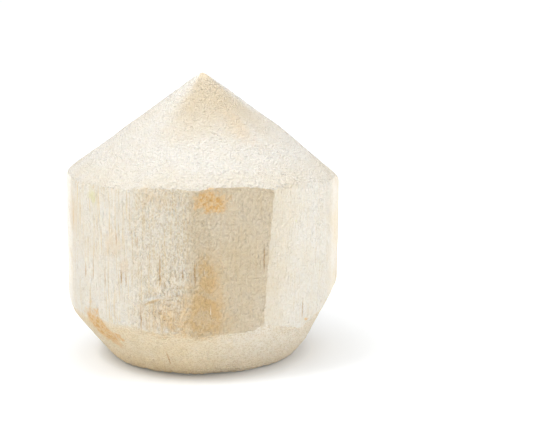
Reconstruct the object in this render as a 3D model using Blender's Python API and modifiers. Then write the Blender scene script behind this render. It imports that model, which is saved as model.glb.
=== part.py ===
"""A young coconut trimmed for the shop: the green skin is pared off and the white husk is left.

The trimmer spins the nut to turn a cone on top and a bevel round the foot, then pares the barrel
and the foot with flat knife strokes. The fruit is one solid. It stands on its flat foot, with
+Z up, and its front is towards -Y. Lengths are in metres.
"""
import math

import bmesh
import bpy
from mathutils import Vector

MM = 0.001

# Driving dimensions of the turned blank
WIDTH = 121.6 * MM
HEIGHT = 126.4 * MM
SHOULDER_HEIGHT = 82.8 * MM
SHOULDER_ROUNDING = 1.4 * MM
TIP_ROUNDING = 2.6 * MM
HEEL_HEIGHT = 23.5 * MM
HEEL_ROUNDING = 15.0 * MM
FOOT_WIDTH = 83.2 * MM
FOOT_OFFSET = -0.8 * MM
CONE_LEAN = math.radians(0.5)
CONE_NOD = math.radians(0.3)

# How finely the blank is turned
TURNING_STEPS = 96
TIP_ARC_STEPS = 4
SHOULDER_ARC_STEPS = 3
HEEL_ARC_STEPS = 5

# Two corners closer than this are one corner
WELD_DISTANCE = 0.05 * MM

HUSK_COLOUR = (0.87, 0.80, 0.66, 1.0)
HUSK_ROUGHNESS = 0.75

# Flat knife strokes. A stroke faces outwards at its bearing, in degrees from the front and
# positive to the right, and is tipped up (positive) or down (negative) by its tilt in degrees.
# It passes at its reach from the axis at its level, both in millimetres.
BARREL_STROKES = (
    # bearing, tilt, reach, level
    (11.0, -0.8, 57.4, 55.0),
    (42.0, -3.0, 57.6, 55.0),
    (80.0, -1.7, 60.3, 55.0),
    (-9.5, 0.9, 59.7, 55.0),
    (-18.5, 1.0, 59.5, 55.0),
    (-52.0, 0.4, 60.5, 55.0),
    (112.0, -0.6, 58.6, 55.0),
    (146.0, 1.2, 57.4, 55.0),
    (178.0, -0.9, 58.9, 55.0),
    (208.0, 0.5, 57.2, 55.0),
    (241.0, -1.0, 59.2, 55.0),
)
HEEL_STROKES = (
    (-20.0, -40.0, 60.2, 21.9),
    (13.0, -36.5, 57.3, 22.9),
    (32.0, -35.0, 58.0, 25.0),
    (60.0, -33.0, 57.6, 23.5),
    (78.0, -27.5, 59.4, 31.9),
    (118.0, -36.0, 57.0, 24.5),
    (155.0, -40.0, 57.4, 22.0),
    (196.0, -37.0, 57.0, 25.0),
    (233.0, -41.0, 58.0, 21.5),
)
CONE_STROKES = (
    (97.0, 48.5, 38.6, 98.0),
    (201.0, 50.5, 44.0, 93.6),
)


def arc(centre, radius, start, end, steps):
    """Points of an arc in the profile's plane, from one angle to another."""
    points = []
    for step in range(steps + 1):
        angle = start + (end - start) * step / steps
        points.append((centre[0] + radius * math.cos(angle), centre[1] + radius * math.sin(angle)))
    return points


def rounded_corner(before, corner, after, radius, steps):
    """The arc that rounds a corner between two straight runs of the profile."""
    corner = Vector(corner)
    towards_before = (Vector(before) - corner).normalized()
    towards_after = (Vector(after) - corner).normalized()
    half_angle = towards_before.angle(towards_after) / 2
    centre = corner + (towards_before + towards_after).normalized() * radius / math.sin(half_angle)
    setback = radius / math.tan(half_angle)
    first = corner + towards_before * setback - centre
    last = corner + towards_after * setback - centre
    start = math.atan2(first.y, first.x)
    end = math.atan2(last.y, last.x)
    return arc(centre, radius, start, end, steps)


def turned_profile():
    """The half outline of the blank as (radius, height), from the tip down to the foot's middle."""
    barrel = WIDTH / 2
    foot = FOOT_WIDTH / 2
    slope = math.atan2(HEIGHT - SHOULDER_HEIGHT, barrel)
    sharp_tip = HEIGHT + TIP_ROUNDING * (1 / math.cos(slope) - 1)
    tip_centre = (0.0, HEIGHT - TIP_ROUNDING)
    points = arc(tip_centre, TIP_ROUNDING, math.pi / 2, math.pi / 2 - slope, TIP_ARC_STEPS)
    shoulder = (barrel, SHOULDER_HEIGHT)
    heel = (barrel, HEEL_HEIGHT)
    tip = (0.0, sharp_tip)
    points += rounded_corner(tip, shoulder, heel, SHOULDER_ROUNDING, SHOULDER_ARC_STEPS)
    points += rounded_corner(shoulder, heel, (foot, 0.0), HEEL_ROUNDING, HEEL_ARC_STEPS)
    points += [(foot, 0.0), (0.0, 0.0)]
    return points


def turn_blank(scene_collection):
    """Turn the profile about the axis and return the closed mesh of the blank."""
    points = turned_profile()
    outline = bpy.data.meshes.new("blank_outline")
    edges = [(index, index + 1) for index in range(len(points) - 1)]
    outline.from_pydata([(radius, 0.0, height) for radius, height in points], edges, [])
    blank = bpy.data.objects.new("blank_outline", outline)
    scene_collection.objects.link(blank)
    screw = blank.modifiers.new("turning", 'SCREW')
    screw.steps = TURNING_STEPS
    screw.render_steps = TURNING_STEPS
    screw.use_merge_vertices = True
    screw.merge_threshold = WELD_DISTANCE
    evaluated = blank.evaluated_get(bpy.context.evaluated_depsgraph_get())
    turned = bpy.data.meshes.new_from_object(evaluated)
    bpy.data.objects.remove(blank)
    bpy.data.meshes.remove(outline)
    return turned


def settle_blank(body):
    """Lean the cone a little to one side and forwards, and set the foot a little off the axis."""
    for vertex in body.verts:
        rise = min(vertex.co.z / SHOULDER_HEIGHT, 1.0)
        lean = vertex.co.x * math.tan(CONE_LEAN) + vertex.co.y * math.tan(CONE_NOD)
        vertex.co.x += FOOT_OFFSET * (1.0 - rise)
        vertex.co.z -= lean * rise


def pare(body, bearing, tilt, reach, level):
    """Cut the body with one flat knife stroke and close the cut."""
    turn = math.radians(bearing)
    rise = math.radians(tilt)
    outwards = Vector((math.sin(turn), -math.cos(turn), 0.0))
    facing = outwards * math.cos(rise) + Vector((0.0, 0.0, math.sin(rise)))
    on_blade = outwards * reach * MM + Vector((0.0, 0.0, level * MM))
    everything = body.verts[:] + body.edges[:] + body.faces[:]
    cut = bmesh.ops.bisect_plane(
        body, geom=everything, dist=WELD_DISTANCE / 10, plane_co=on_blade, plane_no=facing, clear_outer=True
    )
    rim = [item for item in cut["geom_cut"] if isinstance(item, bmesh.types.BMEdge) and item.is_boundary]
    if rim:
        bmesh.ops.edgenet_fill(body, edges=rim)


def centre_on_foot(body):
    """Move the body so that the middle of its bounding box's underside is the origin."""
    low = Vector([min(vertex.co[axis] for vertex in body.verts) for axis in range(3)])
    high = Vector([max(vertex.co[axis] for vertex in body.verts) for axis in range(3)])
    middle = (low + high) / 2
    bmesh.ops.translate(body, verts=body.verts[:], vec=(-middle.x, -middle.y, -low.z))


def husk_material():
    """A Principled material in the cream white of bare husk."""
    material = bpy.data.materials.new("husk")
    material.use_nodes = True
    shader = material.node_tree.nodes["Principled BSDF"]
    shader.inputs["Base Color"].default_value = HUSK_COLOUR
    shader.inputs["Roughness"].default_value = HUSK_ROUGHNESS
    shader.inputs["Metallic"].default_value = 0.0
    material.diffuse_color = HUSK_COLOUR
    return material


def make_coconut(collection):
    """Turn the blank, pare it, clean the cuts and make the one object of the fruit."""
    mesh = turn_blank(collection)
    body = bmesh.new()
    body.from_mesh(mesh)
    bmesh.ops.remove_doubles(body, verts=body.verts[:], dist=WELD_DISTANCE)
    settle_blank(body)
    for stroke in BARREL_STROKES + HEEL_STROKES + CONE_STROKES:
        pare(body, *stroke)
    bmesh.ops.remove_doubles(body, verts=body.verts[:], dist=WELD_DISTANCE)
    bmesh.ops.dissolve_degenerate(body, dist=WELD_DISTANCE, edges=body.edges[:])
    bmesh.ops.recalc_face_normals(body, faces=body.faces[:])
    centre_on_foot(body)
    body.to_mesh(mesh)
    body.free()
    mesh.name = "coconut"
    mesh.materials.append(husk_material())
    mesh.shade_smooth()
    mesh.set_sharp_from_angle(angle=math.radians(12.0))
    coconut = bpy.data.objects.new("coconut", mesh)
    collection.objects.link(coconut)
    return coconut


def main():
    for leftover in list(bpy.data.objects):
        bpy.data.objects.remove(leftover)
    collection = bpy.data.collections.new("trimmed_coconut")
    bpy.context.scene.collection.children.link(collection)
    make_coconut(collection)


main()
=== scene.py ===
"""A trimmed young coconut in bare white husk, finished for a close look.

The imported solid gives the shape: a turned cone, a barrel of knife cuts and a bevelled foot. A fine
net is pressed onto it, its cut edges are worn and chipped, and the husk is carved into it: long fibres
down the barrel, cut fibre ends on the cone and the bevel, splits and one torn strip. Fibres that have
come loose are scattered over the barrel. Lengths inside the trees are in millimetres. A bearing is in
degrees from the front, positive to the right. The bevel round the foot is called the heel.
"""

import math

import bmesh
import bpy
from bpy.props import FloatProperty, FloatVectorProperty, IntProperty, PointerProperty
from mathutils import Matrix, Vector


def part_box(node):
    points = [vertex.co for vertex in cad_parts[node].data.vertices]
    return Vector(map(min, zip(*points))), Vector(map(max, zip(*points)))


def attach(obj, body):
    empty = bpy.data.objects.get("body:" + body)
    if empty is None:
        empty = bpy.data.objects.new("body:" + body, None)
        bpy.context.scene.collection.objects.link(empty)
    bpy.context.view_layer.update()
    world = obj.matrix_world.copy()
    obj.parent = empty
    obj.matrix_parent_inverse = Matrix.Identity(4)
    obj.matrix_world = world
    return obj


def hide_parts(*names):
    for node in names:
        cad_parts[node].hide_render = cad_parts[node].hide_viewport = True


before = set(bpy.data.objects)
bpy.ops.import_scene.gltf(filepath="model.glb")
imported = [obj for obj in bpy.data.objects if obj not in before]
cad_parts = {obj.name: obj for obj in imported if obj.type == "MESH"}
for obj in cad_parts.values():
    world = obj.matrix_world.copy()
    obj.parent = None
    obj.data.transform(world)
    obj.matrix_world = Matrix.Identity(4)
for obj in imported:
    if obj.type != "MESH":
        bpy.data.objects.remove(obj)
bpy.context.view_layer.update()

bl_info = {
    "name": "Trimmed Young Coconut",
    "version": (1, 0, 0),
    "blender": (4, 5, 0),
    "location": "View3D > Sidebar > Coconut",
    "description": "Carves and colours the husk of a trimmed young coconut over its packed solid",
    "category": "Object",
}

MM = 0.001
COCONUT = "coconut"
BODY = "root"
HUSK = "husk"
FIBRES = "loose_fibres"
FACING = "cut_facing"
EDGE = "cut_edge"
BAKE_MAP = "OFBake"

# The nut's outline in millimetres, which the net follows before it is pressed onto the solid
NUT_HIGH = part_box(COCONUT)[1]
NUT_RADIUS = NUT_HIGH.x / MM
NUT_HEIGHT = NUT_HIGH.z / MM
SHOULDER = 0.655 * NUT_HEIGHT
HEEL = 0.186 * NUT_HEIGHT
FOOT_RADIUS = 0.68 * NUT_RADIUS
HEART = (0.0, 0.0, 0.4 * NUT_HEIGHT)

# Splits down the husk: bearing, height of the middle, half width, half length
SPLITS = (
    (-17.9, 50.2, 0.45, 8.2),
    (-8.4, 49.0, 0.32, 4.2),
    (-3.6, 48.5, 0.5, 6.6),
    (-43.2, 44.6, 0.42, 5.0),
    (-57.0, 45.5, 0.4, 3.8),
    (-51.4, 46.2, 0.38, 5.0),
    (-47.4, 61.0, 0.34, 5.0),
    (-34.6, 46.0, 0.4, 4.4),
    (-32.3, 45.4, 0.36, 3.4),
    (-27.2, 61.7, 0.32, 2.8),
    (-48.5, 57.0, 0.28, 2.6),
    (-36.5, 62.0, 0.28, 3.2),
    (25.1, 54.3, 0.34, 7.0),
    (-26.0, 29.5, 0.34, 8.0),
    (-18.3, 9.5, 0.5, 5.0),
    (48.3, 28.0, 0.26, 5.5),
    (98.0, 47.0, 0.4, 7.0),
    (121.0, 60.0, 0.35, 5.0),
    (151.0, 44.0, 0.45, 8.0),
    (-166.0, 52.0, 0.4, 6.0),
    (-118.0, 46.0, 0.4, 7.0),
    (-84.0, 52.0, 0.3, 4.0),
)

# Stains and traces: bearing, height of the middle, half width, half height
DEEP_STAINS = (
    (3.2, 79.4, 7.0, 5.0),
    (-40.5, 17.5, 2.6, 2.0),
    (50.3, 22.5, 1.2, 1.3),
    (133.0, 71.0, 4.0, 2.5),
)
PALE_STAINS = (
    (1.5, 46.0, 5.0, 11.0),
    (-1.0, 33.0, 10.0, 10.5),
    (-3.5, 28.5, 14.0, 6.5),
    (104.0, 27.0, 7.0, 4.0),
    (152.0, 18.0, 8.0, 4.5),
)
FAINT_STAINS = (
    (5.5, 38.0, 3.0, 13.0),
    (-19.0, 80.5, 8.0, 3.5),
    (31.0, 105.0, 9.0, 6.0),
    (-38.0, 60.0, 6.0, 5.0),
    (-33.0, 50.5, 2.5, 3.0),
    (-17.0, 31.0, 12.0, 10.0),
    (-68.0, 66.0, 6.0, 8.0),
    (-128.0, 62.0, 6.0, 9.0),
    (160.0, 36.0, 8.0, 13.0),
    (-100.0, 100.0, 9.0, 7.0),
    (140.0, 98.0, 8.0, 8.0),
)
GREEN_TRACES = (
    (-50.5, 78.0, 4.4, 3.6),
    (40.6, 67.5, 0.7, 0.7),
    (163.0, 79.0, 5.0, 2.6),
)

# Marks on a slant: bearing, height of the middle, half length, half width, slope in degrees
HEEL_STAIN = (-49.5, 21.0, 10.5, 5.2, -48.0)
TORN_PATCH = (-15.0, 40.0, 15.0, 7.0, 85.0)
RIDGE = (-21.0, 38.4, 6.6, 1.1, 20.0)
# A painted shadow just under the ridge
SHADOW_UNDER_RIDGE = (-20.8, 36.8, 6.2, 0.8, 20.0)

# Bearings between which one cut of the barrel gives way to the next, from the left round to the front
STREAKS_START = (-78.0, -66.0)
STREAKS_END = (-33.0, -25.0)
LEFT_CUT_END = (-9.5, -3.0)
# The right cut is told by the way it faces, in degrees as a bearing
RIGHT_CUT_FACING = (26.0, 66.0)
RIDGE_WIDTH = 1.5

# Shares of the cuts in what is carved: how fibrous and how grainy each is, and how grainy the cone
# and the heel are, where the fibres are cut across
CARVED_FIBRES = {"streaky": 0.6, "left_cut": 0.5, "front_cut": 0.1, "barrel": 0.4}
CARVED_GRAIN = {"left_cut": 0.5, "front_cut": 0.4, "foot": 0.5}
CARVED_ENDS = 0.7

# Shares of the cuts in the finish: fine grain, fine fibres, dark pores (partly brownish fibre ends, partly
# painted shade in the sunk pores), and straw in the cream
FINE_GRAIN = {"cone": 1.65, "heel": 1.8, "left_cut": 2.1, "front_cut": 1.9, "foot": 1.5,
              "streaky": 1.6, "right_cut": 1.15}
FINE_FIBRES = {"streaky": 0.35, "right_cut": 0.22, "barrel": 0.12}
DARK_PORES = {"cone": 0.35, "heel": 1.0, "left_cut": 0.6, "barrel": 0.3}
STRAW_SHARES = {"front_cut": 0.66, "left_cut": 0.3, "heel": 0.36, "streaky": 0.16, "right_cut": 0.08,
                "foot": 0.6}

# Sizes that the trees take: the carving's in millimetres, the slivers' in metres
CARVED_LENGTHS = ("swell", "fibre_width", "fibre_depth", "grain_size", "grain_depth", "split_depth",
                  "tear_height", "chip_depth")
SLIVER_LENGTHS = ("spacing", "length", "thickness", "lift")

# What the colour is multiplied by on a cut or in a mark. Some stand for light: the front cut's is painted
# shade, the heel's is painted bounce light from the floor, the dots' is partly painted shade and the ridge
# shadow's is a painted shadow
TINTS = {
    # Painted shade: the front cut darkened
    "front_cut": (0.885, 0.862, 0.845, 1.0),
    "near_ridge": (0.96, 0.95, 0.93, 1.0),
    "cone": (0.965, 0.965, 0.97, 1.0),
    "tip": (0.88, 0.85, 0.81, 1.0),
    # Painted bounce light from the floor: the heel lightened, most of all low down
    "heel": (1.12, 1.09, 1.08, 1.0),
    "streaks": (0.93, 0.84, 0.66, 1.0),
    "pits": (0.80, 0.76, 0.68, 1.0),
    # Partly brownish fibre ends, partly painted shade in the sunk middles of the pores
    "dots": (0.85, 0.80, 0.71, 1.0),
    "fine": (0.97, 0.95, 0.91, 1.0),
    "pale": (0.98, 0.84, 0.63, 1.0),
    # Painted shadow under the ridge and at the rims of the flakes
    "ridge_shadow": (0.84, 0.73, 0.54, 1.0),
    "splits": (0.78, 0.60, 0.40, 1.0),
}
# Painted highlight along the top of the ridge
RIDGE_HIGHLIGHT = (1.0, 0.95, 0.85, 1.0)

# Softboxes: name, the power's property, side in metres, bearing, elevation
SOFTBOXES = (
    ("left_softbox", "left_light", 0.5, -70.0, 48.0),
    ("right_softbox", "right_light", 0.7, 74.0, 37.0),
    ("top_softbox", "top_light", 0.6, 0.0, 90.0),
    ("front_softbox", "front_light", 0.3, 0.0, 8.0),
)
SOFTBOX_DISTANCE = 0.9

# The floor glows more away from the nut, which paints a shadow on the floor round it: distances in metres
# where a rise starts and ends, and the rise
FLOOR_GLOW_RISES = (
    (0.042, 0.054, 0.22),
    (0.055, 0.1, 0.1),
    (0.2, 1.0, 0.8),
)
FLOOR_REACH = 8.0
FLOOR_GAP = 0.2 * MM

# The camera: lens and sensor in millimetres, place in metres, looking down and to the right in degrees
LENS = 88.3
SENSOR_WIDTH = 36.0
CAMERA_PLACE = (0.0003, -0.598, 0.1832)
LOOKING_DOWN = 11.69
LOOKING_RIGHT = 3.07


class Field:
    """A socket of a node tree that can stand in a sum, which then adds its Math nodes."""

    def __init__(self, bench, socket):
        self.bench = bench
        self.socket = socket

    def __add__(self, other):
        return self.bench.math('ADD', self, other)

    __radd__ = __add__

    def __sub__(self, other):
        return self.bench.math('SUBTRACT', self, other)

    def __rsub__(self, other):
        return self.bench.math('SUBTRACT', other, self)

    def __mul__(self, other):
        return self.bench.math('MULTIPLY', self, other)

    __rmul__ = __mul__

    def __truediv__(self, other):
        return self.bench.math('DIVIDE', self, other)

    def __rtruediv__(self, other):
        return self.bench.math('DIVIDE', other, self)


class Bench:
    """Puts nodes into one tree, whether of a material or of Geometry Nodes."""

    def __init__(self, tree):
        self.tree = tree

    def node(self, kind, settings=None, values=None):
        """Add a node: its settings first, then the values or links of its sockets."""
        node = self.tree.nodes.new(kind)
        for name, setting in (settings or {}).items():
            setattr(node, name, setting)
        for key, value in (values or {}).items():
            if isinstance(value, Field):
                self.tree.links.new(value.socket, node.inputs[key])
            else:
                node.inputs[key].default_value = value
        return node

    def field(self, kind, settings=None, values=None, output=0):
        """Add a node and give one of its outputs."""
        return Field(self, self.node(kind, settings, values).outputs[output])

    def math(self, operation, *terms):
        return self.field("ShaderNodeMath", {"operation": operation}, dict(enumerate(terms)))

    def vector(self, operation, *terms, output=0):
        return self.field("ShaderNodeVectorMath", {"operation": operation}, dict(enumerate(terms)), output)

    def step(self, value, low, high):
        """Rise smoothly from 0 at low to 1 at high; low may be the larger."""
        span = {"Value": value, "From Min": low, "From Max": high}
        return self.field("ShaderNodeMapRange", {"interpolation_type": 'SMOOTHSTEP'}, span)

    def band(self, value, low, high, soft):
        """1 between low and high, fading to 0 outside."""
        return self.step(value, low - soft, low + soft) * self.step(value, high + soft, high - soft)

    def noise(self, place, size, detail=2.0, roughness=0.5, output=0):
        """Noise whose grain is about size wide, from 0 to 1."""
        values = {"Vector": place, "Scale": 1.0 / size, "Detail": detail, "Roughness": roughness}
        return self.field("ShaderNodeTexNoise", None, values, output)

    def cells(self, place, size):
        """Round spots about size apart: 1 in their middles, falling to about 0 between them."""
        values = {"Vector": place, "Scale": 1.0 / size, "Randomness": 0.85}
        far = self.field("ShaderNodeTexVoronoi", None, values)
        return 1.0 - far * far * 1.6

    def signed(self, place, size, detail=2.0, roughness=0.5):
        """Noise from about -1 to 1."""
        return self.noise(place, size, detail, roughness) * 2.0 - 1.0

    def blend(self, share, first, second):
        """Mix two colours."""
        values = {0: share, 6: first, 7: second}
        return self.field("ShaderNodeMix", {"data_type": 'RGBA', "clamp_factor": True}, values, 2)

    def shade(self, colour, tint, share):
        """Multiply a colour by a tint, by a share."""
        values = {0: share, 6: colour, 7: tint}
        settings = {"data_type": 'RGBA', "blend_type": 'MULTIPLY', "clamp_factor": True}
        return self.field("ShaderNodeMix", settings, values, 2)


def larger(bench, first, second):
    return bench.math('MAXIMUM', first, second)


def stretched(bench, place, *factors):
    """The place scaled along x, y and z, which makes a pattern long where a factor is small."""
    return bench.vector('MULTIPLY', place, factors)


class Places:
    """Where a point of the husk is and which cut it lies on, worked out once for a tree."""

    def __init__(self, bench, position, facing):
        self.bench = bench
        self.mm = stretched(bench, position, 1000.0, 1000.0, 1000.0)
        apart = bench.node("ShaderNodeSeparateXYZ", None, {0: self.mm})
        across = Field(bench, apart.outputs[0])
        along = Field(bench, apart.outputs[1])
        self.height = Field(bench, apart.outputs[2])
        self.bearing = bench.math('ARCTAN2', across, along * -1.0)
        self.radius = bench.math('SQRT', across * across + along * along)
        turned = bench.node("ShaderNodeSeparateXYZ", None, {0: facing})
        out_x = Field(bench, turned.outputs[0])
        out_y = Field(bench, turned.outputs[1])
        up = Field(bench, turned.outputs[2])
        cut = bench.math('ARCTAN2', out_x, out_y * -1.0) * math.degrees(1.0)
        self.cone = bench.step(up, 0.35, 0.55)
        self.foot = bench.step(up, -0.86, -0.95)
        self.heel = bench.step(up, -0.2, -0.4) * (1.0 - self.foot)
        self.barrel = (1.0 - self.cone) * bench.step(up, -0.4, -0.2)
        wander = bench.noise(self.mm, 6.0, 2.0) * 8.0 - 4.0
        about = self.bearing * math.degrees(1.0) + wander
        right_start, right_end = RIGHT_CUT_FACING
        front_end = bench.step(cut, right_start + RIDGE_WIDTH, right_start - RIDGE_WIDTH)
        past_streaks = bench.step(about, *STREAKS_END)
        past_left_cut = bench.step(about, *LEFT_CUT_END)
        self.streaky = self.barrel * bench.step(about, *STREAKS_START) * (1.0 - past_streaks)
        self.left_cut = self.barrel * past_streaks * (1.0 - past_left_cut)
        self.front_cut = self.barrel * past_left_cut * front_end
        self.right_cut = self.barrel * bench.band(cut, right_start, right_end, RIDGE_WIDTH)

        # Grain fades towards the axis, where its pattern would crowd
        self.off_axis = 0.3 + bench.step(self.radius, 1.0, 7.0) * 0.7

        # The grain's coordinates: drawn out down the barrel, and without a jump at its ends
        beside = bench.math('MINIMUM', larger(bench, self.height, HEEL), SHOULDER)
        drawn = {0: across, 1: along, 2: self.height - beside * 0.4}
        grained = bench.field("ShaderNodeCombineXYZ", None, drawn)
        self.grained = bench.vector('ADD', grained, bench.noise(self.mm, 1.0, 1.0, 0.5, 1))

    def weighed(self, shares):
        """The named cuts, each times its share, added up."""
        return sum(getattr(self, name) * share for name, share in shares.items())

    def unrolled(self, wander, size):
        """Width round the barrel and height, in millimetres, wandering a little."""
        sides = {0: self.bearing * NUT_RADIUS, 1: self.height}
        flat = self.bench.field("ShaderNodeCombineXYZ", None, sides)
        drift = self.bench.noise(self.mm, size, 3.0, 0.6, 1)
        centred = self.bench.vector('SUBTRACT', drift, (0.5, 0.5, 0.5))
        drift = self.bench.vector('MULTIPLY', centred, (wander, wander * 2.0, 0.0))
        return self.bench.vector('ADD', flat, drift)

    def away(self, flat, marks, least=0.0):
        """How far the nearest mark is, in shares of its half size: 1 on its rim."""
        nearest = None
        for bearing, height, half_width, half_height in marks:
            middle = (math.radians(bearing) * NUT_RADIUS, height, 0.0)
            sizes = (1.0 / max(half_width, least), 1.0 / half_height, 0.0)
            offset = self.bench.vector('MULTIPLY', self.bench.vector('SUBTRACT', flat, middle), sizes)
            share = self.bench.vector('LENGTH', offset, output=1)
            nearest = share if nearest is None else self.bench.math('MINIMUM', nearest, share)
        return nearest

    def slanted(self, flat, bearing, height, half_length, half_width, slope):
        """As away, for one mark that slopes up to the right."""
        middle = (math.radians(bearing) * NUT_RADIUS, height, 0.0)
        values = {"Vector": flat, "Center": middle, "Angle": -math.radians(slope)}
        level = self.bench.field("ShaderNodeVectorRotate", {"rotation_type": 'Z_AXIS'}, values)
        offset = self.bench.vector('SUBTRACT', level, middle)
        sized = self.bench.vector('MULTIPLY', offset, (1.0 / half_length, 1.0 / half_width, 0.0))
        return self.bench.vector('LENGTH', sized, output=1)

    def torn(self, flat):
        return self.bench.step(self.slanted(flat, *TORN_PATCH), 1.0, 0.7)

    def ridge(self, flat):
        return self.bench.step(self.slanted(flat, *RIDGE), 1.0, 0.2)


# --- The net -----------------------------------------------------------------------------------

class Net:
    """Rings of points down the nut's outline, whose counts halve where the rings get small."""

    def __init__(self, columns):
        self.columns = columns
        self.rings = []
        self.islands = []
        self.first = []
        self.points = []

    def run(self, start, end, spacing, island):
        """Add the rings of a straight run of the outline, given by its ends (radius, height)."""
        length = math.dist(start, end)
        rows = max(2, round(length / spacing))
        for row in range(rows):
            share = (row + 1) / rows
            radius = start[0] + (end[0] - start[0]) * share
            height = start[1] + (end[1] - start[1]) * share
            self.ring(radius, height)
            self.islands.append((island, length * row / rows, length * share))

    def ring(self, radius, height):
        """Add one ring, of a single point at the axis."""
        count = self.columns
        limit = NUT_RADIUS * 0.7
        while radius < limit and count > 9:
            count //= 2
            limit /= 2.0
        if radius < 0.01:
            count = 1
        self.first.append(len(self.points))
        self.rings.append(count)
        for column in range(count):
            turn = 2.0 * math.pi * column / count - math.pi
            self.points.append((radius * math.sin(turn), -radius * math.cos(turn), height))

    def strip(self, row):
        """The faces between two rings, as corners (ring, column), columns running on past the seam."""
        upper, lower = self.rings[row], self.rings[row + 1]
        faces = []
        if upper == lower:
            for column in range(upper):
                faces.append(((row, column), (row + 1, column), (row + 1, column + 1), (row, column + 1)))
        elif upper == 1:
            for column in range(lower):
                faces.append(((row, column), (row + 1, column), (row + 1, column + 1)))
        elif lower == 1:
            for column in range(upper):
                faces.append(((row, column + 1), (row, column), (row + 1, column)))
        elif upper < lower:
            for column in range(upper):
                left, middle, right = 2 * column, 2 * column + 1, 2 * column + 2
                faces.append(((row, column), (row + 1, left), (row + 1, middle)))
                faces.append(((row, column), (row + 1, middle), (row, column + 1)))
                faces.append(((row, column + 1), (row + 1, middle), (row + 1, right)))
        else:
            for column in range(lower):
                left, middle, right = 2 * column, 2 * column + 1, 2 * column + 2
                faces.append(((row, left), (row + 1, column), (row, middle)))
                faces.append(((row, middle), (row + 1, column), (row + 1, column + 1)))
                faces.append(((row, middle), (row + 1, column + 1), (row, right)))
        return faces

    def index(self, corner):
        row, column = corner
        return self.first[row] + column % self.rings[row]


class BakeSheet:
    """A flat layout in the unit square: the cone and the foot as discs, the barrel as two strips."""

    def __init__(self, cone_slant, barrel_height, foot_slant):
        self.cone_slant = cone_slant
        self.foot_slant = foot_slant
        self.gap = 2.0
        self.side = 2.0 * (cone_slant + foot_slant) + 3.0 * self.gap
        self.strip_height = barrel_height
        self.round = 2.0 * math.pi * NUT_RADIUS

    def place(self, island, far, share, half):
        """The point of the sheet that is far down its run, a share of a turn round the nut."""
        turn = 2.0 * math.pi * share
        if island == "cone":
            centre = self.gap + self.cone_slant
            at = (centre + far * math.cos(turn), centre + far * math.sin(turn))
        elif island == "barrel":
            base = 2.0 * (self.gap + self.cone_slant) + (self.gap + self.strip_height) * half
            at = (self.gap + (share - 0.5 * half) * self.round, base + far)
        else:
            across = 2.0 * (self.gap + self.cone_slant) + self.foot_slant
            reach = self.foot_slant - far
            at = (across + reach * math.cos(turn), self.gap + self.foot_slant + reach * math.sin(turn))
        return (at[0] / self.side, at[1] / self.side)


def net_mesh(sizes):
    """The closed net round the nut's outline, with its bake map, before it is pressed on."""
    fine = sizes.row_spacing / MM
    tip, shoulder, heel = (0.0, NUT_HEIGHT), (NUT_RADIUS, SHOULDER), (NUT_RADIUS, HEEL)
    foot, middle = (FOOT_RADIUS, 0.0), (0.0, 0.0)
    cone_slant = math.dist(tip, shoulder)
    bevel_slant = math.dist(heel, foot)
    sheet = BakeSheet(cone_slant, SHOULDER - HEEL, bevel_slant + FOOT_RADIUS)
    net = Net(int(sizes.columns))
    net.ring(*tip)
    net.run(tip, shoulder, fine, "cone")
    net.run(shoulder, heel, fine * 1.25, "barrel")
    net.run(heel, foot, fine, "bevel")
    net.run(foot, middle, fine * 1.5, "foot")
    faces = []
    layout = []
    for row, (island, before, after) in enumerate(net.islands):
        beyond = bevel_slant if island == "foot" else 0.0
        for face in net.strip(row):
            faces.append([net.index(corner) for corner in face])
            shares = [column / net.rings[ring] for ring, column in face if net.rings[ring] > 1]
            middle_share = sum(shares) / len(shares)
            half = 1 if middle_share > 0.5 else 0
            for ring, column in face:
                count = net.rings[ring]
                share = column / count if count > 1 else middle_share
                far = beyond + (before if ring == row else after)
                layout.append(sheet.place(island, far, share, half))
    mesh = bpy.data.meshes.new(HUSK)
    mesh.from_pydata([(x * MM, y * MM, z * MM) for x, y, z in net.points], [], faces)
    bake_map = mesh.uv_layers.new(name=BAKE_MAP)
    bake_map.uv.foreach_set("vector", [number for corner in layout for number in corner])
    mesh.shade_smooth()
    return mesh


def solid_copy():
    """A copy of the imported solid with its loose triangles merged, for the net to be pressed onto."""
    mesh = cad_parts[COCONUT].data.copy()
    body = bmesh.new()
    body.from_mesh(mesh)
    bmesh.ops.remove_doubles(body, verts=body.verts[:], dist=0.01 * MM)
    bmesh.ops.recalc_face_normals(body, faces=body.faces[:])
    body.to_mesh(mesh)
    body.free()
    solid = bpy.data.objects.new("pressing_form", mesh)
    bpy.context.scene.collection.objects.link(solid)
    return solid


# --- Trees -------------------------------------------------------------------------------------

class Inputs:
    """The named inputs of a Geometry Nodes tree, and what a modifier sets them to."""

    KINDS = {'FLOAT': "NodeSocketFloat", 'INT': "NodeSocketInt", 'OBJECT': "NodeSocketObject",
             'MATERIAL': "NodeSocketMaterial"}

    def __init__(self, tree):
        self.tree = tree
        self.given = {}
        tree.interface.new_socket("Geometry", in_out='INPUT', socket_type="NodeSocketGeometry")
        tree.interface.new_socket("Geometry", in_out='OUTPUT', socket_type="NodeSocketGeometry")

    def add(self, name, kind, value):
        socket = self.tree.interface.new_socket(name, in_out='INPUT', socket_type=self.KINDS[kind])
        self.given[socket.identifier] = value

    def add_lengths(self, sizes, names, scale=1.0):
        """Add an input for each of these sizes, under the name that a user reads."""
        for name in names:
            self.add(name.replace("_", " ").title(), 'FLOAT', getattr(sizes, name) * scale)

    def fields(self, bench):
        node = bench.node("NodeGroupInput")
        return {socket.name: Field(bench, socket) for socket in node.outputs if socket.name}


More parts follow.
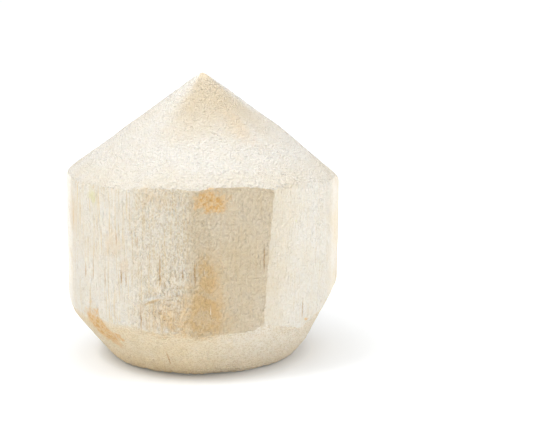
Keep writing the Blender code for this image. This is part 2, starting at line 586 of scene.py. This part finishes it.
def finished_mesh(base, tree, inputs, name):
    """Run a tree on a base mesh and give the result as a plain mesh object."""
    holder = bpy.data.objects.new(name, base)
    bpy.context.scene.collection.objects.link(holder)
    modifier = holder.modifiers.new("making", 'NODES')
    modifier.node_group = tree
    for identifier, value in inputs.given.items():
        modifier[identifier] = value
    evaluated = holder.evaluated_get(bpy.context.evaluated_depsgraph_get())
    mesh = bpy.data.meshes.new_from_object(evaluated, preserve_all_data_layers=True,
                                           depsgraph=bpy.context.evaluated_depsgraph_get())
    holder.modifiers.remove(modifier)
    holder.data = mesh
    mesh.name = name
    bpy.data.meshes.remove(base)
    if not mesh.polygons:
        raise RuntimeError(f"{name} came out empty")
    return holder


def end_tree(bench, geometry, material):
    """Realise the instances, set the material and lead to the tree's output."""
    realised = bench.field("GeometryNodeRealizeInstances", None, {0: geometry})
    coated = bench.field("GeometryNodeSetMaterial", None, {0: realised, "Material": material})
    bench.node("NodeGroupOutput", None, {0: coated})


def new_tree(name):
    tree = bpy.data.node_groups.new(name, "GeometryNodeTree")
    tree.is_modifier = True
    return tree


def places_on_mesh(bench, position):
    """The places of a mesh that has the facing of its cuts stored on it."""
    stored = {"data_type": 'FLOAT_VECTOR'}
    return Places(bench, position, bench.field("GeometryNodeInputNamedAttribute", stored, {"Name": FACING}))


def carving_depth(bench, places, edge, given):
    """How far the husk stands proud of its cut, in millimetres: fibres, grain, splits and tears."""
    mm = places.mm
    swell = bench.signed(mm, 15.0, 1.0) * given["Swell"]
    chatter = bench.signed(stretched(bench, mm, 0.2, 0.2, 1.0), 4.5, 1.0) * places.barrel * 0.1

    fibres = bench.signed(stretched(bench, mm, 1.0, 1.0, 0.07), given["Fibre Width"], 2.0)
    fibres = fibres * places.weighed(CARVED_FIBRES) * given["Fibre Depth"]
    grainy = larger(bench, places.cone, places.heel) * CARVED_ENDS + places.weighed(CARVED_GRAIN) + 0.1
    grain = bench.signed(mm, given["Grain Size"], 3.0, 0.6)
    grain = grain * grainy * places.off_axis * given["Grain Depth"]

    # Chips along the cut edges, but none at the tip
    edge = edge * bench.step(places.radius, 9.0, 16.0)
    chips = edge * bench.step(bench.noise(mm, 2.4, 2.0, 0.6), 0.5, 0.62) * given["Chip Depth"]

    # Splits are cut in, and the torn patch is in raised plates beside its ridge
    flat = places.unrolled(0.8, 4.0)
    grooves = bench.step(places.away(flat, SPLITS, 0.6), 1.0, 0.25) * given["Split Depth"]
    plates = bench.step(bench.noise(mm, 3.2, 2.0, 0.6), 0.49, 0.53) - 0.6
    tears = places.torn(flat) * plates * 0.6 + places.ridge(flat)
    return swell + chatter + fibres + grain - chips - grooves + tears * given["Tear Height"]


def carving_tree(sizes, solid, material):
    """Press the net onto the solid, wear its edges round and carve the husk into it."""
    tree = new_tree("husk_carving")
    inputs = Inputs(tree)
    inputs.add("Solid", 'OBJECT', solid)
    inputs.add("Material", 'MATERIAL', material)
    inputs.add("Edge Wear", 'INT', sizes.edge_wear)
    inputs.add_lengths(sizes, CARVED_LENGTHS, 1.0 / MM)
    bench = Bench(tree)
    given = inputs.fields(bench)

    # Press each point towards the heart until it meets the solid
    form = bench.field("GeometryNodeObjectInfo", None, {0: given["Solid"]}, "Geometry")
    position = bench.field("GeometryNodeInputPosition")
    heart = tuple(length * MM for length in HEART)
    outwards = bench.vector('SUBTRACT', position, heart)
    source = bench.vector('ADD', heart, bench.vector('MULTIPLY', outwards, (1.5, 1.5, 1.5)))
    inwards = bench.vector('MULTIPLY', outwards, (-1.0, -1.0, -1.0))
    ray = {"Target Geometry": form, "Source Position": source, "Ray Direction": inwards,
           "Ray Length": 1.0}
    met = bench.node("GeometryNodeRaycast", None, ray)
    pressed = bench.field("GeometryNodeSetPosition", None,
                          {0: given["Geometry"], "Position": Field(bench, met.outputs["Hit Position"])})

    # Keep which way each cut faces, for the carving and for the colours
    blurring = {"data_type": 'FLOAT_VECTOR'}
    facing = bench.field("GeometryNodeBlurAttribute", blurring,
                         {0: Field(bench, met.outputs["Hit Normal"]), "Iterations": 1})
    kept = bench.field("GeometryNodeStoreNamedAttribute", {"data_type": 'FLOAT_VECTOR', "domain": 'POINT'},
                       {0: pressed, "Name": FACING, "Value": facing})
    averaged = bench.field("GeometryNodeBlurAttribute", blurring,
                           {0: Field(bench, met.outputs["Hit Normal"]), "Iterations": 5})

    # Beside an edge the averaged directions disagree, which makes their mean shorter than 1
    edge = bench.step(bench.vector('LENGTH', averaged, output=1), 0.985, 0.93)
    kept = bench.field("GeometryNodeStoreNamedAttribute", {"data_type": 'FLOAT', "domain": 'POINT'},
                       {0: kept, "Name": EDGE, "Value": edge})

    # Wear the cut edges round
    wear = {0: position, "Iterations": given["Edge Wear"]}
    worn = bench.field("GeometryNodeBlurAttribute", blurring, wear)
    rounded = bench.field("GeometryNodeSetPosition", None, {0: kept, "Position": worn})

    # Carve along the normal, and keep the foot on its plane
    edge = bench.field("GeometryNodeInputNamedAttribute", {"data_type": 'FLOAT'}, {"Name": EDGE})
    depth = carving_depth(bench, places_on_mesh(bench, position), edge, given)
    normal = bench.field("GeometryNodeInputNormal")
    offset = bench.field("ShaderNodeVectorMath", {"operation": 'SCALE'}, {0: normal, "Scale": depth * MM})
    carved = bench.field("GeometryNodeSetPosition", None, {0: rounded, "Offset": offset})
    apart = bench.node("ShaderNodeSeparateXYZ", None, {0: position})
    above = larger(bench, Field(bench, apart.outputs[2]), 0.0)
    level = {0: Field(bench, apart.outputs[0]), 1: Field(bench, apart.outputs[1]), 2: above}
    standing = bench.field("GeometryNodeSetPosition", None,
                           {0: carved, "Position": bench.field("ShaderNodeCombineXYZ", None, level)})
    end_tree(bench, standing, given["Material"])
    return tree, inputs


def fibre_tree(sizes, material):
    """Scatter slivers over the barrel that lie along it, their upper ends lifted off."""
    tree = new_tree("loose_fibre_scatter")
    inputs = Inputs(tree)
    inputs.add("Material", 'MATERIAL', material)
    inputs.add("Density", 'FLOAT', sizes.density)
    inputs.add("Seed", 'INT', sizes.seed)
    inputs.add_lengths(sizes, SLIVER_LENGTHS)
    bench = Bench(tree)
    given = inputs.fields(bench)

    # One sliver along Y, thin at its ends, sunk at the lower end and free at the upper
    half = bench.field("ShaderNodeCombineXYZ", None, {1: given["Length"] * 0.5})
    ends = {"Start": bench.vector('MULTIPLY', half, (0.0, -1.0, 0.0)), "End": half}
    line = bench.field("GeometryNodeCurvePrimitiveLine", None, ends)
    spine = bench.field("GeometryNodeResampleCurve", None, {0: line, "Count": 6})
    along = bench.field("GeometryNodeSplineParameter", None, None, "Factor")
    rise = along * along * given["Lift"] - given["Thickness"] * 2.0
    offset = bench.field("ShaderNodeCombineXYZ", None, {2: rise})
    bent = bench.field("GeometryNodeSetPosition", None, {0: spine, "Offset": offset})
    taper = 1.15 - bench.math('ABSOLUTE', along * 2.0 - 1.0)
    section = bench.field("GeometryNodeCurvePrimitiveCircle", None, {"Resolution": 5, "Radius": 1.0})
    sweep = {0: bent, "Profile Curve": section, "Scale": taper * given["Thickness"], "Fill Caps": True}
    sliver = bench.field("GeometryNodeCurveToMesh", None, sweep)

    # Where the barrel is stringy there are more of them
    places = places_on_mesh(bench, bench.field("GeometryNodeInputPosition"))
    patches = bench.step(bench.noise(places.mm, 11.0, 1.0), 0.46, 0.62)
    stringy = (places.streaky + places.left_cut * 0.8 + places.barrel * 0.25) * patches
    middle = bench.band(places.height, 28.0, 74.0, 6.0)
    scatter = {0: given["Geometry"], "Distance Min": given["Spacing"], "Density Max": given["Density"],
               "Density Factor": stringy * middle, "Seed": given["Seed"]}
    points = bench.node("GeometryNodeDistributePointsOnFaces", {"distribute_method": 'POISSON'}, scatter)
    normal = Field(bench, points.outputs["Normal"])
    out = bench.field("FunctionNodeAlignRotationToVector", {"axis": 'Z'}, {"Vector": normal})
    kind = {"data_type": 'FLOAT'}
    lean = bench.field("FunctionNodeRandomValue", kind, {2: -0.16, 3: 0.16, "Seed": 3}, 1)
    up = bench.field("ShaderNodeCombineXYZ", None, {0: lean, 1: lean * -0.7, 2: 1.0})
    turned = bench.field("FunctionNodeAlignRotationToVector", {"axis": 'Y', "pivot_axis": 'Z'},
                         {0: out, "Vector": up})
    size = bench.field("FunctionNodeRandomValue", kind, {2: 0.45, 3: 1.4, "Seed": 5}, 1)
    stature = bench.field("ShaderNodeCombineXYZ", None, {0: size, 1: size, 2: size})
    planted = {0: Field(bench, points.outputs["Points"]), "Instance": sliver, "Rotation": turned,
               "Scale": stature}
    fibres = bench.field("GeometryNodeInstanceOnPoints", None, planted)
    end_tree(bench, fibres, given["Material"])
    return tree, inputs


# --- Material ----------------------------------------------------------------------------------

def husk_straw(bench, places, tip):
    """How much straw there is in the husk's cream."""
    mm = places.mm
    broad = bench.noise(mm, 17.0, 2.0) - 0.5
    mottle = bench.noise(mm, 5.0, 3.0, 0.6) - 0.5
    grain = bench.noise(mm, 1.15, 3.0, 0.65) - 0.5
    left_heel = places.heel * bench.band(places.bearing, -1.7, 0.05, 0.3)
    beyond = places.barrel * bench.band(places.bearing + broad * 0.6, 1.25, 1.65, 0.2)
    above_shoulder = places.cone * bench.step(places.height, 93.0, 86.0)
    straw = places.weighed(STRAW_SHARES) + left_heel * 0.4 + near_ridge(bench, places) * 0.3 + 0.06
    straw = straw + lower_heel(bench, places) * 0.18 + tip * 0.5 + above_shoulder * 0.14 + beyond * 0.3
    return straw + broad * 0.5 + mottle * 0.35 + grain * 0.12


def near_ridge(bench, places):
    """The part of the right cut beside the next knife ridge."""
    return places.right_cut * bench.step(places.bearing, 0.8, 0.4)


def lower_heel(bench, places):
    return places.heel * bench.step(places.height, 12.0, 1.0)


def husk_colour(bench, places, look, marks):
    """The husk's cream and straw, its stains and the darker bottoms of pits and splits, with painted shade
    on the front cut and partly in the pores, painted bounce light on the heel, and a painted highlight and
    a painted shadow along the ridge.
    """
    mm = places.mm
    tip = places.cone * bench.step(places.height, 96.0, 116.0)
    tip = tip * bench.band(places.bearing, -0.5, 1.15, 0.3)
    streak = bench.noise(stretched(bench, mm, 1.0, 1.0, 0.045), 0.9, 2.0, 0.6)
    streaky = places.barrel * (0.25 + places.streaky * 0.6 + places.left_cut * 0.4)
    colour = bench.blend(husk_straw(bench, places, tip), tuple(look.cream), tuple(look.straw))
    tinted = {
        # Painted shade on the front cut
        "front_cut": places.front_cut,
        "near_ridge": near_ridge(bench, places),
        "cone": places.cone,
        "tip": tip,
        # Painted bounce light from the floor on the heel
        "heel": places.heel * 0.3 + lower_heel(bench, places) * 0.7,
        "streaks": bench.step(streak, 0.5, 0.7) * streaky,
        "pits": marks["pits"] * 0.5,
        # Pores darkened: partly brownish fibre ends, partly painted shade where they are sunk
        "dots": marks["dots"],
        "fine": bench.step(bench.noise(mm, 0.55, 2.0, 0.6), 0.5, 0.7),
    }
    for name, share in tinted.items():
        colour = bench.shade(colour, TINTS[name], share)

    # Stains, from the faintest to the deepest, and last the ridge's painted highlight, the painted shadow
    # under it and at the flake rims, and the splits
    golden = tuple(look.golden)
    patchy = 0.55 + bench.step(bench.noise(mm, 5.0, 3.0, 0.6), 0.35, 0.65) * 0.65
    colour = bench.blend(marks["green"] * 0.7, colour, tuple(look.green))
    colour = bench.blend(marks["faint"] * 0.35, colour, golden)
    colour = bench.shade(colour, TINTS["pale"], marks["pale"] * patchy)
    colour = bench.blend(marks["deep"], colour, golden)
    colour = bench.blend(marks["deep"] * marks["specks"], colour, tuple(look.stain))
    # Painted highlight along the top of the ridge
    colour = bench.blend(marks["ridge"] * 0.8, colour, RIDGE_HIGHLIGHT)
    # Painted shadow under the ridge and at the rims of the flakes
    painted_shadows = larger(bench, marks["ridge_shadow"], marks["flake_rim_shade"]) * 0.8
    colour = bench.shade(colour, TINTS["ridge_shadow"], painted_shadows)
    return bench.shade(colour, TINTS["splits"], marks["splits"] * 0.8)


def husk_stains(bench, places, speckle):
    """Masks of the stains, with ragged rims."""
    flat = places.unrolled(7.0, 5.0)
    scatter = (speckle - 0.5) * 1.6
    deep = bench.math('MINIMUM', places.away(flat, DEEP_STAINS), places.slanted(flat, *HEEL_STAIN))
    deep = deep + scatter
    pale = places.away(flat, PALE_STAINS) + scatter
    faint = places.away(flat, FAINT_STAINS) + scatter
    return {
        "deep": bench.step(deep, 1.3, 0.6) * (0.6 + speckle * 0.8) * (1.0 - places.cone * 0.85),
        "pale": bench.step(pale, 1.6, 0.2) * (speckle * 2.0 + 0.1),
        "faint": bench.step(faint, 1.5, 0.3) * (0.2 + speckle),
        "green": bench.step(places.away(flat, GREEN_TRACES), 1.3, 0.3),
        "specks": bench.step(speckle, 0.44, 0.62),
    }


def husk_marks(bench, places):
    """Masks of the fine marks on the husk: grain, pores, pits, splits, tears and stains, and the painted
    shadows under the ridge and at the rims of the flakes.
    """
    mm = places.mm
    flat = places.unrolled(0.8, 4.0)
    speckle = bench.noise(mm, 1.6, 3.0, 0.65)
    gritty = places.barrel * bench.band(places.bearing, -0.3, 0.05, 0.08)
    rough = places.weighed(FINE_GRAIN) + gritty * 0.3 + 0.2
    dotted = places.weighed(DARK_PORES) + gritty * 0.4
    torn = places.torn(flat)
    pores = bench.cells(places.grained, 1.0)
    lifted = bench.noise(mm, 3.4, 2.0, 0.5)
    splits = places.away(flat, SPLITS) + (speckle - 0.5) * 0.64
    marks = {
        "rough": rough * places.off_axis * (1.0 - torn * 0.4),
        "pores": pores,
        # Partly brownish fibre ends, partly painted shade in the sunk middles of the pores
        "dots": bench.step(pores, 0.6, 0.95) * dotted,
        "pits": bench.step(bench.noise(mm, 1.2, 2.0, 0.6), 0.33, 0.27),
        "splits": bench.step(splits, 1.1, 0.4) * (0.4 + speckle),
        "flakes": torn * bench.step(lifted, 0.5, 0.54),
        # Painted shade at the rims of the lifted flakes
        "flake_rim_shade": torn * bench.band(lifted, 0.46, 0.5, 0.02) * 0.5,
        "ridge": places.ridge(flat),
        # Painted shadow just under the ridge
        "ridge_shadow": bench.step(places.slanted(flat, *SHADOW_UNDER_RIDGE), 1.0, 0.3),
    }
    marks.update(husk_stains(bench, places, speckle))
    return marks


def husk_height(bench, places, marks):
    """Fine relief in millimetres, too small for the net."""
    mm = places.mm
    grain = ((0.6 - marks["pores"]) * 0.3 + bench.signed(mm, 0.7, 2.0, 0.65) * 0.16) * marks["rough"]
    fibres = bench.signed(stretched(bench, mm, 1.0, 1.0, 0.05), 0.6, 2.0, 0.6)
    raised = marks["ridge"] * 0.5 + marks["flakes"] * 0.9
    sunk = marks["pits"] * 0.25 + marks["splits"] * 0.2
    return grain + fibres * places.weighed(FINE_FIBRES) + raised - sunk


def husk_material(look):
    """Bare husk: dull, a little translucent, with its fine relief as bump."""
    material = bpy.data.materials.new("husk")
    material.use_nodes = True
    tree = material.node_tree
    shader = tree.nodes["Principled BSDF"]
    bench = Bench(tree)
    position = bench.field("ShaderNodeTexCoord", None, None, "Object")
    facing = bench.field("ShaderNodeAttribute", {"attribute_name": FACING}, None, "Vector")
    places = Places(bench, position, facing)
    marks = husk_marks(bench, places)
    colour = husk_colour(bench, places, look, marks)
    roughness = 0.7 + marks["pits"] * 0.12 + (bench.noise(places.mm, 3.0) - 0.5) * 0.3
    height = husk_height(bench, places, marks)
    relief = bench.field("ShaderNodeBump", None, {"Distance": MM, "Height": height}, "Normal")
    tree.links.new(colour.socket, shader.inputs["Base Color"])
    tree.links.new(roughness.socket, shader.inputs["Roughness"])
    tree.links.new(relief.socket, shader.inputs["Normal"])
    shader.inputs["Specular IOR Level"].default_value = 0.25
    shader.inputs["Subsurface Weight"].default_value = look.translucency
    shader.inputs["Subsurface Radius"].default_value = (1.0, 0.7, 0.4)
    shader.inputs["Subsurface Scale"].default_value = 1.5 * MM
    return material


def fibre_material(look):
    """Dry fibre: the husk's own cream and straw, in fine lengthwise streaks."""
    material = bpy.data.materials.new("loose_fibre")
    material.use_nodes = True
    tree = material.node_tree
    shader = tree.nodes["Principled BSDF"]
    bench = Bench(tree)
    position = bench.field("ShaderNodeTexCoord", None, None, "Object")
    mm = stretched(bench, position, 1000.0, 1000.0, 1000.0)
    strands = bench.noise(stretched(bench, mm, 1.0, 1.0, 0.1), 0.4, 2.0)
    colour = bench.blend(bench.noise(mm, 3.0) * 0.7 + strands * 0.3, tuple(look.cream), tuple(look.straw))
    relief = bench.field("ShaderNodeBump", None, {"Distance": MM, "Height": strands * 0.05}, "Normal")
    tree.links.new(colour.socket, shader.inputs["Base Color"])
    tree.links.new((0.65 + strands * 0.2).socket, shader.inputs["Roughness"])
    tree.links.new(relief.socket, shader.inputs["Normal"])
    shader.inputs["Specular IOR Level"].default_value = 0.3
    return material


# --- Properties --------------------------------------------------------------------------------

def length_property(name, description, millimetres):
    return FloatProperty(name=name, description=description, default=millimetres * MM, unit='LENGTH',
                         precision=5)


def colour_property(name, description, red, green, blue):
    return FloatVectorProperty(name=name, description=description, default=(red, green, blue, 1.0),
                               subtype='COLOR', size=4)


class CoconutHuskSizes(bpy.types.PropertyGroup):
    """Sizes of the husk's net and of what is carved into it."""

    columns: IntProperty(
        name="Columns", description="Points round the widest ring of the net", default=576, min=64,
        step=64)
    row_spacing: length_property("Row Spacing", "Distance between rings on the cone", 0.8)
    edge_wear: IntProperty(
        name="Edge Wear", description="How many times the cut edges are softened", default=4, min=0)
    swell: length_property("Swell", "Height of the broad waves", 0.35)
    fibre_width: length_property("Fibre Width", "Width of a bundle of fibres", 1.9)
    fibre_depth: length_property("Fibre Depth", "Relief of the fibres down the barrel", 0.6)
    grain_size: length_property("Grain Size", "Width of the cut fibre ends", 1.7)
    grain_depth: length_property("Grain Depth", "Relief of the cut fibre ends", 0.5)
    split_depth: length_property("Split Depth", "Depth of the splits", 0.4)
    tear_height: length_property("Tear Height", "Height of the torn strip", 0.9)
    chip_depth: length_property("Chip Depth", "Depth of the chips along the cut edges", 0.5)


class CoconutFibreSizes(bpy.types.PropertyGroup):
    """Sizes of the fibres that have come loose."""

    density: FloatProperty(
        name="Density", description="Most fibres to a square metre", default=60000.0, min=0.0)
    spacing: length_property("Spacing", "Least distance between two", 2.2)
    length: length_property("Length", "Length of an average fibre", 6.0)
    thickness: length_property("Thickness", "Radius of a fibre at its middle", 0.11)
    lift: length_property("Lift", "How far a free end stands off", 0.7)
    seed: IntProperty(name="Seed", description="Changes where the fibres are", default=7)


class CoconutHuskLook(bpy.types.PropertyGroup):
    """Colours of the husk."""

    cream: colour_property("Cream", "Clean inner husk", 0.95, 0.91, 0.835)
    straw: colour_property("Straw", "Drier, yellower husk", 0.88, 0.73, 0.48)
    stain: colour_property("Stain", "Where sap has browned", 0.77, 0.45, 0.16)
    golden: colour_property("Golden", "Where sap has yellowed", 0.87, 0.62, 0.34)
    green: colour_property("Green Trace", "Last trace of the skin", 0.86, 0.81, 0.48)
    translucency: FloatProperty(
        name="Translucency", description="Share of light scattered inside", default=0.05, subtype='FACTOR')


class CoconutStageLook(bpy.types.PropertyGroup):
    """Light and floor."""

    surround: FloatProperty(name="Surround", description="Light from the white surround", default=0.04)
    left_light: FloatProperty(
        name="Left Light", description="Power of the left softbox", default=5.5, unit='POWER')
    right_light: FloatProperty(
        name="Right Light", description="Power of the right softbox", default=4.3, unit='POWER')
    top_light: FloatProperty(
        name="Top Light", description="Power of the overhead softbox", default=3.9, unit='POWER')
    front_light: FloatProperty(
        name="Front Light", description="Power of the softbox by the camera", default=1.0, unit='POWER')
    floor_glow: FloatProperty(
        name="Floor Glow", description="Light that comes up through the floor under the nut", default=0.08)
    floor_shade: FloatProperty(name="Floor Shade", description="Whiteness of the floor", default=0.8)


# --- Operators ---------------------------------------------------------------------------------

def hand_over(piece):
    """Hand a finished piece to the frame."""
    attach(piece, BODY)
    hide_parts(COCONUT)


class OBJECT_OT_coconut_husk(bpy.types.Operator):
    """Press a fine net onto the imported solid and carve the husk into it"""

    bl_idname = "object.coconut_husk"
    bl_label = "Husk"

    def execute(self, context):
        sizes = context.scene.coconut_husk_sizes
        material = husk_material(context.scene.coconut_husk_look)
        solid = solid_copy()
        tree, inputs = carving_tree(sizes, solid, material)
        husk = finished_mesh(net_mesh(sizes), tree, inputs, HUSK)
        bpy.data.objects.remove(solid)
        hand_over(husk)
        return {'FINISHED'}


class OBJECT_OT_coconut_fibres(bpy.types.Operator):
    """Scatter the fibres that have come loose from the barrel"""

    bl_idname = "object.coconut_fibres"
    bl_label = "Loose Fibres"

    def execute(self, context):
        husk = bpy.data.objects.get(HUSK)
        if husk is None:
            raise RuntimeError("make the husk first, because the fibres grow from it")
        material = fibre_material(context.scene.coconut_husk_look)
        tree, inputs = fibre_tree(context.scene.coconut_fibre_sizes, material)
        hand_over(finished_mesh(husk.data.copy(), tree, inputs, FIBRES))
        return {'FINISHED'}


def soft_light(name, power, side, bearing, elevation):
    """A square softbox that looks at the nut's middle."""
    data = bpy.data.lights.new(name, 'AREA')
    data.shape = 'SQUARE'
    data.size = side
    data.energy = power
    lamp = bpy.data.objects.new(name, data)
    bpy.context.scene.collection.objects.link(lamp)
    turn, rise = math.radians(bearing), math.radians(elevation)
    out = Vector((math.sin(turn) * math.cos(rise), -math.cos(turn) * math.cos(rise), math.sin(rise)))
    lamp.location = Vector((0.0, 0.0, 0.5 * NUT_HIGH.z)) + out * SOFTBOX_DISTANCE
    lamp.rotation_euler = out.to_track_quat('Z', 'Y').to_euler()
    lamp.visible_camera = False


def white_world(strength):
    """A dim white surround for the nut, which the camera sees as plain white."""
    world = bpy.data.worlds.new("surround")
    world.use_nodes = True
    bpy.context.scene.world = world
    bench = Bench(world.node_tree)
    seen = bench.field("ShaderNodeLightPath", None, None, "Is Camera Ray")
    background = world.node_tree.nodes["Background"]
    background.inputs["Color"].default_value = (1.0, 1.0, 1.0, 1.0)
    world.node_tree.links.new((seen * (1.0 - strength) + strength).socket, background.inputs["Strength"])


def stage_floor(look):
    """A pale floor that glows a little, least under the nut, which paints a shadow onto the floor round it.
    """
    mesh = bpy.data.meshes.new("stage_floor")
    body = bmesh.new()
    bmesh.ops.create_grid(body, x_segments=1, y_segments=1, size=FLOOR_REACH)
    bmesh.ops.translate(body, verts=body.verts[:], vec=(0.0, 0.0, -FLOOR_GAP))
    body.to_mesh(mesh)
    body.free()
    floor = bpy.data.objects.new("stage_floor", mesh)
    bpy.context.scene.collection.objects.link(floor)
    material = bpy.data.materials.new("stage_floor")
    material.use_nodes = True
    shader = material.node_tree.nodes["Principled BSDF"]
    bench = Bench(material.node_tree)
    place = bench.field("ShaderNodeTexCoord", None, None, "Object")
    reach = bench.vector('LENGTH', place, output=1)
    glow = look.floor_glow
    # The glow rises away from the nut: a painted shadow on the floor round it
    for start, end, rise in FLOOR_GLOW_RISES:
        glow = glow + bench.step(reach, start, end) * rise
    lit = bench.blend(glow, (0.0, 0.0, 0.0, 1.0), (0.98, 0.99, 1.0, 1.0))
    material.node_tree.links.new(lit.socket, shader.inputs["Emission Color"])
    shade = look.floor_shade
    shader.inputs["Base Color"].default_value = (0.97 * shade, 0.985 * shade, shade, 1.0)
    shader.inputs["Roughness"].default_value = 0.9
    shader.inputs["Specular IOR Level"].default_value = 0.0
    shader.inputs["Emission Strength"].default_value = 1.0
    mesh.materials.append(material)


def add_camera():
    """The camera stands to the front, a little above the nut, and looks down and slightly right."""
    data = bpy.data.cameras.new("camera")
    data.lens = LENS
    data.sensor_width = SENSOR_WIDTH
    data.clip_start = 0.01
    camera = bpy.data.objects.new("camera", data)
    bpy.context.scene.collection.objects.link(camera)
    camera.location = CAMERA_PLACE
    camera.rotation_euler = (math.radians(90.0 - LOOKING_DOWN), 0.0, math.radians(-LOOKING_RIGHT))
    bpy.context.scene.camera = camera


class SCENE_OT_coconut_stage(bpy.types.Operator):
    """Set up the pale floor, the white surround, the softboxes and the camera"""

    bl_idname = "scene.coconut_stage"
    bl_label = "Stage"

    def execute(self, context):
        look = context.scene.coconut_stage_look
        context.scene.view_settings.view_transform = 'Standard'
        white_world(look.surround)
        for name, power, side, bearing, elevation in SOFTBOXES:
            soft_light(name, getattr(look, power), side, bearing, elevation)
        stage_floor(look)
        add_camera()
        return {'FINISHED'}


class VIEW3D_PT_trimmed_coconut(bpy.types.Panel):
    """Lists the pieces and their sizes"""

    bl_label = "Trimmed Young Coconut"
    bl_space_type = 'VIEW_3D'
    bl_region_type = 'UI'
    bl_category = "Coconut"

    def draw(self, context):
        layout = self.layout
        for operator, groups in PANEL_ROWS:
            box = layout.box()
            for group in groups:
                settings = getattr(context.scene, group)
                for name in settings.__annotations__:
                    box.prop(settings, name)
            box.operator(operator.bl_idname)


PANEL_ROWS = (
    (OBJECT_OT_coconut_husk, ("coconut_husk_sizes", "coconut_husk_look")),
    (OBJECT_OT_coconut_fibres, ("coconut_fibre_sizes",)),
    (SCENE_OT_coconut_stage, ("coconut_stage_look",)),
)
SETTINGS = {
    "coconut_husk_sizes": CoconutHuskSizes,
    "coconut_husk_look": CoconutHuskLook,
    "coconut_fibre_sizes": CoconutFibreSizes,
    "coconut_stage_look": CoconutStageLook,
}
CLASSES = (
    CoconutHuskSizes,
    CoconutHuskLook,
    CoconutFibreSizes,
    CoconutStageLook,
    OBJECT_OT_coconut_husk,
    OBJECT_OT_coconut_fibres,
    SCENE_OT_coconut_stage,
    VIEW3D_PT_trimmed_coconut,
)


def register():
    for item in CLASSES:
        bpy.utils.register_class(item)
    for name, group in SETTINGS.items():
        setattr(bpy.types.Scene, name, PointerProperty(type=group))


def unregister():
    for name in SETTINGS:
        delattr(bpy.types.Scene, name)
    for item in reversed(CLASSES):
        bpy.utils.unregister_class(item)


def main():
    register()
    bpy.ops.object.coconut_husk()
    bpy.ops.object.coconut_fibres()
    bpy.ops.scene.coconut_stage()


if __name__ == "__main__":
    main()
